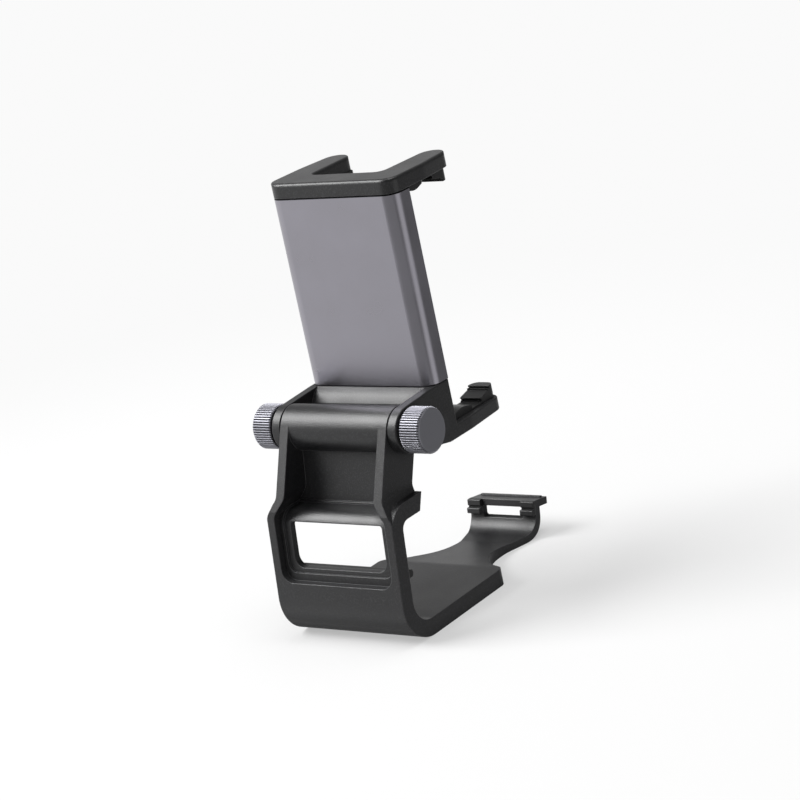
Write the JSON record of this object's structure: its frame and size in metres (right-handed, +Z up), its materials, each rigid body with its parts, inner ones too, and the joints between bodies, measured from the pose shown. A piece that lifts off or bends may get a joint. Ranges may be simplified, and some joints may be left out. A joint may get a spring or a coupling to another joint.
{
  "type": "controller phone clip",
  "caption": "Phone holder with a sprung upper jaw, tilting on a thumb-knob hinge above a bent strip that hooks round a game controller.",
  "frame": {"origin": "underside of the base strip, right below the hinge axis", "axes": "+Z up; +Y towards the player, out of the phone holder's front; +X along the hinge axis"},
  "size_m": [0.0592, 0.088, 0.125],
  "materials": {
    "abs_black": "fine matt texture",
    "guide_plastic": "smooth moulded",
    "rubber_black": "soft satin",
    "shell_aluminium": "grey bead-blasted and anodised",
    "knob_aluminium": "turned, with a straight knurl",
    "insert_brass": "turned",
    "steel": "bright",
    "washer_nylon": "smooth"
  },
  "bodies": {
    "base": {"base_bracket": "abs_black", "wall_pad": "rubber_black", "hook_grip_left": "rubber_black", "hook_grip_right": "rubber_black", "insert_left": "insert_brass", "insert_right": "insert_brass", "friction_washer_left": "washer_nylon", "friction_washer_right": "washer_nylon"},
    "knob_left_turning": {"knob_left": "knob_aluminium", "stud_left": "steel"},
    "knob_right_turning": {"knob_right": "knob_aluminium", "stud_right": "steel"},
    "holder": {"lower_jaw": "abs_black", "spacer_washer_left": "washer_nylon", "spacer_washer_right": "washer_nylon", "back_shell": "shell_aluminium", "guide_frame": "guide_plastic", "front_cover": "abs_black", "face_pad": "rubber_black", "cover_screws": "steel", "spring_pin_lower": "steel", "spring_left": "steel", "spring_right": "steel", "lower_pad_left": "rubber_black", "lower_pad_right": "rubber_black"},
    "sprung_jaw": {"upper_jaw": "abs_black", "slide": "guide_plastic", "upper_pad_left": "rubber_black", "upper_pad_right": "rubber_black", "jaw_screws": "steel", "spring_pin_upper": "steel"}
  },
  "joints": [
    {"name": "holder_tilt", "type": "hinge", "parent": "base", "child": "holder", "pos_m": [0, 0, 0.0577], "axis": [1, 0, 0], "range_deg": [-45, 120]},
    {"name": "jaw_slide", "type": "slide", "parent": "holder", "child": "sprung_jaw", "axis": [0, 0, 1], "range_m": [0, 0.024], "stiffness_N_per_m": 150, "springref_m": -0.015, "deforming": ["spring_left", "spring_right"]},
    {"name": "knob_left_turn", "type": "hinge", "parent": "base", "child": "knob_left_turning", "pos_m": [0, 0, 0.0577], "axis": [1, 0, 0], "continuous": true},
    {"name": "knob_right_turn", "type": "hinge", "parent": "base", "child": "knob_right_turning", "pos_m": [0, 0, 0.0577], "axis": [1, 0, 0], "continuous": true}
  ]
}
